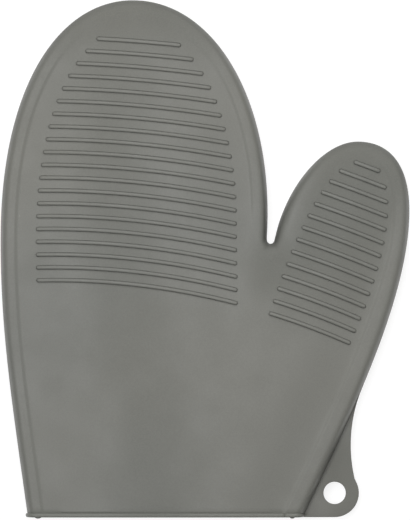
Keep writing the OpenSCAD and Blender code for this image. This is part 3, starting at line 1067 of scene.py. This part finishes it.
PALM_DULL, PALM_DULL_SHARE = (3 * MM, 32 * MM), 0.5
PALM_DULL_FROM_Y, PALM_DULL_TO_X = (20 * MM, -100 * MM), (-50 * MM, -27 * MM)
THUMB_DULL, THUMB_DULL_Y = (17 * MM, 29 * MM), (-5 * MM, -50 * MM)
THUMB_DULL_WAY, THUMB_DULL_AT = (0.947, 0.32), 66 * MM
WEB_DULL, WEB_DULL_SHARE = (4 * MM, 24 * MM), 1.1
WEB_DULL_AT = (40 * MM, -5 * MM, 0)
TIPS_DULL_Y = 135 * MM, 100 * MM
TAB_DULL_X, TAB_DULL_Y = (72 * MM, 62 * MM), (-108 * MM, -92 * MM)


def handled(paint):
    """Share of dulling by handling: down the palm, on the thumb and its web, at the tips and on the tab."""
    x, y, _ = paint.node("SeparateXYZ", {0: paint.coords}).outputs
    middle = paint.mapped(y, *PALM_DULL_FROM_Y, *PALM_DULL_TO_X)
    off_palm = paint.maths("ABSOLUTE", paint.maths("SUBTRACT", x, middle), 0)
    palm = paint.maths("MULTIPLY", paint.fade(off_palm, *PALM_DULL), PALM_DULL_SHARE)
    across = [paint.maths("MULTIPLY", v, share) for v, share in zip((x, y), THUMB_DULL_WAY)]
    off_thumb = paint.maths("SUBTRACT", paint.maths("SUBTRACT", *across), THUMB_DULL_AT)
    thumb = paint.fade(paint.maths("ABSOLUTE", off_thumb, 0), *THUMB_DULL)
    thumb = paint.maths("MULTIPLY", thumb, paint.fade(y, *THUMB_DULL_Y))
    flat = paint.node("CombineXYZ", {0: x, 1: y}).outputs[0]
    off_web = paint.node("VectorMath", {0: flat, 1: WEB_DULL_AT}, operation="DISTANCE").outputs["Value"]
    web = paint.maths("MULTIPLY", paint.fade(off_web, *WEB_DULL), WEB_DULL_SHARE)
    tips = paint.fade(y, *TIPS_DULL_Y)
    tab = paint.maths("MULTIPLY", paint.fade(x, *TAB_DULL_X), paint.fade(y, *TAB_DULL_Y))
    dulled = palm
    for more in (thumb, web, tips, tab):
        dulled = paint.maths("MAXIMUM", dulled, more)
    return dulled


CLOUD_SCALE, GRAIN_SCALE, GLOSS_SCALE = 9, 1500, 60
CLOUD_DARK, CLOUD_LIGHT = 0.95, 1.04
GRAIN_DARK, GRAIN_LIGHT = 0.93, 1.07
GLOSSIEST, DULLEST = 0.46, 0.56
SPECK_SCALE, SPECK_RARITY, SPECK_SIZE = 110.0, 0.86, 0.035
SPECK_SHARE, SPECK_LIGHT = 0.5, 1.7
# The next two numbers set the painted shade at the ribs' feet: its share and how dark it is.
FOOT_SHADE_SHARE, FOOT_SHADE_DARK = 0.8, 0.3


def silicone_paint(name, level, dulled):
    """Moulded silicone: a matte face with clouding, fine grain and a few specks of dust.

    Handling makes it rougher by dulled. Where that is 0 the feet of the ribs are darkened instead: painted
    shade where they meet the skin.
    """
    paint = Paint(name, roughness=0.5, ior=1.41)
    clouds = paint.noise(CLOUD_SCALE, 2)
    tint = paint.noise(CLOUD_SCALE, 1, roughness=0.4)
    grain = paint.noise(GRAIN_SCALE, 2, roughness=0.7)
    cloudy = paint.mapped(clouds, 0.3, 0.7, 0, 1)
    color = paint.mix(cloudy, stone(level * CLOUD_DARK), stone(level * CLOUD_LIGHT))
    color = paint.mix(paint.mapped(tint, 0.35, 0.65, 0, 0.5), color, stone(level, 0.03))
    shade = paint.mapped(grain, 0.3, 0.7, GRAIN_DARK, GRAIN_LIGHT)
    shades = paint.node("CombineColor", {0: shade, 1: shade, 2: shade}).outputs[0]
    color = paint.mix(1.0, color, shades, "MULTIPLY")
    cells = paint.node("TexVoronoi", {"Vector": paint.coords, "Scale": SPECK_SCALE})
    pick = paint.node("SeparateColor", {0: cells.outputs["Color"]}).outputs[0]
    picked = paint.maths("GREATER_THAN", pick, SPECK_RARITY)
    near = paint.maths("LESS_THAN", cells.outputs["Distance"], SPECK_SIZE)
    specks = paint.maths("MULTIPLY", paint.maths("MULTIPLY", picked, near), SPECK_SHARE)
    color = paint.mix(specks, color, stone(level * SPECK_LIGHT))
    roughness = paint.mapped(paint.noise(GLOSS_SCALE, 4), 0.3, 0.7, GLOSSIEST, DULLEST)
    if dulled:
        roughness = paint.maths("ADD", roughness, paint.maths("MULTIPLY", handled(paint), dulled))
    else:
        # Painted shade at the feet of the ribs, darker where they meet the skin.
        foot_shade = paint.node("Attribute", {}, attribute_name=FOOT_SHADE_ATTRIBUTE).outputs["Fac"]
        color = paint.mix(paint.maths("MULTIPLY", foot_shade, FOOT_SHADE_SHARE), color, stone(level * FOOT_SHADE_DARK))
    waves = paint.bump(clouds, 0.5, 0.5 * MM)
    return paint.finish(color, paint.bump(grain, 0.35, 0.05 * MM, waves), roughness)


WAVES_PER_UNIT = math.pi / 10


def cloth_paint(name, level, pitch, tilt=0.0, warmth=0.0):
    """Plain woven cotton: over-and-under threads a pitch apart, with uneven yarn."""
    paint = Paint(name, roughness=0.85, sheen=0.25)
    turned = paint.node("Mapping", {"Vector": paint.coords, "Rotation": (0, 0, tilt)}).outputs[0]
    threads = []
    for axis in ("X", "Y"):
        inputs = {"Vector": turned, "Scale": WAVES_PER_UNIT / pitch, "Distortion": 0.6, "Detail": 1.0}
        threads.append(paint.node("TexWave", inputs, wave_type="BANDS", bands_direction=axis).outputs["Fac"])
    checks = paint.node("TexChecker", {"Vector": turned, "Scale": 1 / pitch}).outputs["Fac"]
    weave = paint.node("Mix", {0: checks, 2: threads[0], 3: threads[1]}, data_type="FLOAT").outputs[0]
    yarn = paint.noise(320, 3)
    color = paint.mix(paint.mapped(weave, 0, 1, 0, 1), grey(level * 0.7, warmth), grey(level * 1.08, warmth))
    color = paint.mix(paint.mapped(yarn, 0.35, 0.65, 0, 0.35), color, grey(level * 0.8, warmth))
    normal = paint.bump(weave, 0.6, 0.25 * MM)
    return paint.finish(color, paint.bump(yarn, 0.3, 0.1 * MM, normal))


def wadding_paint():
    """White polyester fibre: a soft tangle."""
    paint = Paint("wadding", roughness=0.95, sheen=0.4)
    fluff = paint.noise(240, 6, roughness=0.75)
    tangle = paint.noise(900, 4, roughness=0.8)
    color = paint.mix(paint.mapped(fluff, 0.3, 0.7, 0, 1), grey(0.62, 0.02), grey(0.84, 0.01))
    normal = paint.bump(fluff, 0.8, 0.8 * MM)
    return paint.finish(color, paint.bump(tangle, 0.6, 0.2 * MM, normal))


SILICONE = silicone_paint("silicone", 0.144, 0.3)
# The ribs' silicone also carries painted shade at their feet.
RIBS = silicone_paint("silicone_ribs", 0.148, 0.0)
LINING = cloth_paint("cotton_lining", 0.34, 0.9 * MM)
TAPE = cloth_paint("cotton_tape", 0.15, 0.7 * MM, tilt=math.radians(45))
WADDING = wadding_paint()


# ======== Assembly ========


def dressed(obj, material, nodes):
    """Gives obj its material and hides the CAD nodes that it stands for."""
    obj.data.materials.clear()
    obj.data.materials.append(material)
    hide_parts(*nodes)
    return obj


def on_hand(obj, material, slot, *nodes):
    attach(dressed(obj, material, nodes), "hand")


def over_fingers(obj, material, slot, *nodes):
    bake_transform(dressed(obj, material, nodes))


def over_thumb(obj, material, slot, *nodes):
    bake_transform(dressed(obj, material, nodes))


def place_layer(pieces, material, slot, stem):
    """Gives a layer's two pieces their material, bakes their placement and hides the CAD nodes that they
    stand for.
    """
    hand_piece, thumb_piece = pieces
    over_fingers(hand_piece, material, slot, stem + "_hand", stem + "_fingers")
    over_thumb(thumb_piece, material, slot, stem + "_thumb")


place_layer(skin("palm_skin", True), SILICONE, "silicone", "palm_shell")
place_layer(skin("back_skin", False), SILICONE, "silicone", "back_shell")
for half, is_palm in (("palm", True), ("back", False)):
    wadding = soft_layer(half + "_pad", is_palm, wadding_in, wadding_t, 0.0, 1.0)
    place_layer(wadding, WADDING, "wadding", half + "_wadding")
    lining = soft_layer(half + "_quilt", is_palm, lining_in, lining_t, 1.0, 1.0)
    place_layer(lining, LINING, "cotton_lining", half + "_lining")

grip_ribs = ribs("grip_ribs", ("finger_ribs", "palm_ribs"))
over_fingers(grip_ribs, RIBS, "silicone_ribs", "finger_ribs", "palm_ribs")
thumb_ribs = ribs("thumb_grip_ribs", ("thumb_ribs", "thumb_base_ribs"))
over_thumb(thumb_ribs, RIBS, "silicone_ribs", "thumb_ribs", "thumb_base_ribs")

palm_bead = cuff_bead("cuff_rim_palm", True)
back_bead = cuff_bead("cuff_rim_back", False)
add_nubs(back_bead)
for bead in (palm_bead, back_bead):
    finish_mesh(bead, sharp_degrees=60)
on_hand(palm_bead, SILICONE, "silicone", "palm_cuff_bead")
on_hand(back_bead, SILICONE, "silicone", "back_cuff_bead")
on_hand(hang_tab(), SILICONE, "silicone", "hang_tab")
on_hand(mouth_tape(), TAPE, "binding", "lining_binding")


# ======== Studio: a pale glowing floor, four soft lights and a camera straight above ========

VIEW_HEIGHT = 280.8 * MM
VIEW_Y = -0.135 * MM
LENS = 1000.0
SENSOR = 36.0
VIEW_END = 100.0
FLOOR_SIZE, FLOOR_DROP = 6.0, 0.2 * MM
FLOOR_GLOW, FLOOR_DARK, FLOOR_LIGHT = 0.83, 0.22, 0.24
SKY = 0.09
LIGHTS = (
    ("top_light", (-0.14, 0.1, 1.3), (1.5, 0.45), 15.2),
    ("back_light", (0.0, 0.85, 0.75), (0.9, 0.3), 4.2),
    ("left_light", (-0.75, 0.0, 0.66), (0.3, 0.9), 1.0),
    ("right_light", (0.75, 0.0, 0.66), (0.3, 0.9), 1.5),
)


def floor():
    """A pale floor just under the mitt, which lights it from below."""
    bm = bmesh.new()
    bmesh.ops.create_grid(bm, x_segments=1, y_segments=1, size=FLOOR_SIZE / 2)
    mesh = bpy.data.meshes.new("floor")
    bm.to_mesh(mesh)
    bm.free()
    obj = bpy.data.objects.new("floor", mesh)
    obj.location.z = -FLOOR_DROP
    bpy.context.scene.collection.objects.link(obj)
    paint = Paint("floor", roughness=0.9)
    clouds = paint.mapped(paint.noise(3, 2), 0.3, 0.7, 0, 1)
    color = paint.mix(clouds, grey(FLOOR_DARK), grey(FLOOR_LIGHT))
    paint.shader.inputs["Emission Color"].default_value = (1, 1, 1, 1)
    paint.shader.inputs["Emission Strength"].default_value = FLOOR_GLOW
    mesh.materials.append(paint.finish(color, paint.bump(paint.noise(400), 0.05, 0.1 * MM)))


def soft_light(name, place, size, power):
    """A soft rectangular light that faces the middle of the mitt."""
    light = bpy.data.lights.new(name, "AREA")
    light.shape = "RECTANGLE"
    light.size, light.size_y = size
    light.energy = power
    obj = bpy.data.objects.new(name, light)
    obj.location = place
    obj.rotation_euler = (-Vector(place)).to_track_quat("-Z", "Y").to_euler()
    obj.visible_camera = False
    bpy.context.scene.collection.objects.link(obj)


def studio():
    """The floor, the lights and an even grey all round."""
    floor()
    for name, place, size, power in LIGHTS:
        soft_light(name, place, size, power)
    world = bpy.data.worlds.new("studio")
    world.use_nodes = True
    background = world.node_tree.nodes["Background"]
    background.inputs["Color"].default_value = (1, 1, 1, 1)
    background.inputs["Strength"].default_value = SKY
    bpy.context.scene.world = world
    bpy.context.scene.view_settings.view_transform = "Standard"


def camera():
    """A camera high above the mitt, so that its sides don't lean."""
    data = bpy.data.cameras.new("camera")
    data.lens, data.sensor_width = LENS, SENSOR
    data.clip_end = VIEW_END
    obj = bpy.data.objects.new("camera", data)
    distance = VIEW_HEIGHT * LENS / SENSOR
    obj.location = (0, VIEW_Y, parting_z + distance)
    bpy.context.scene.collection.objects.link(obj)
    bpy.context.scene.camera = obj


studio()
camera()
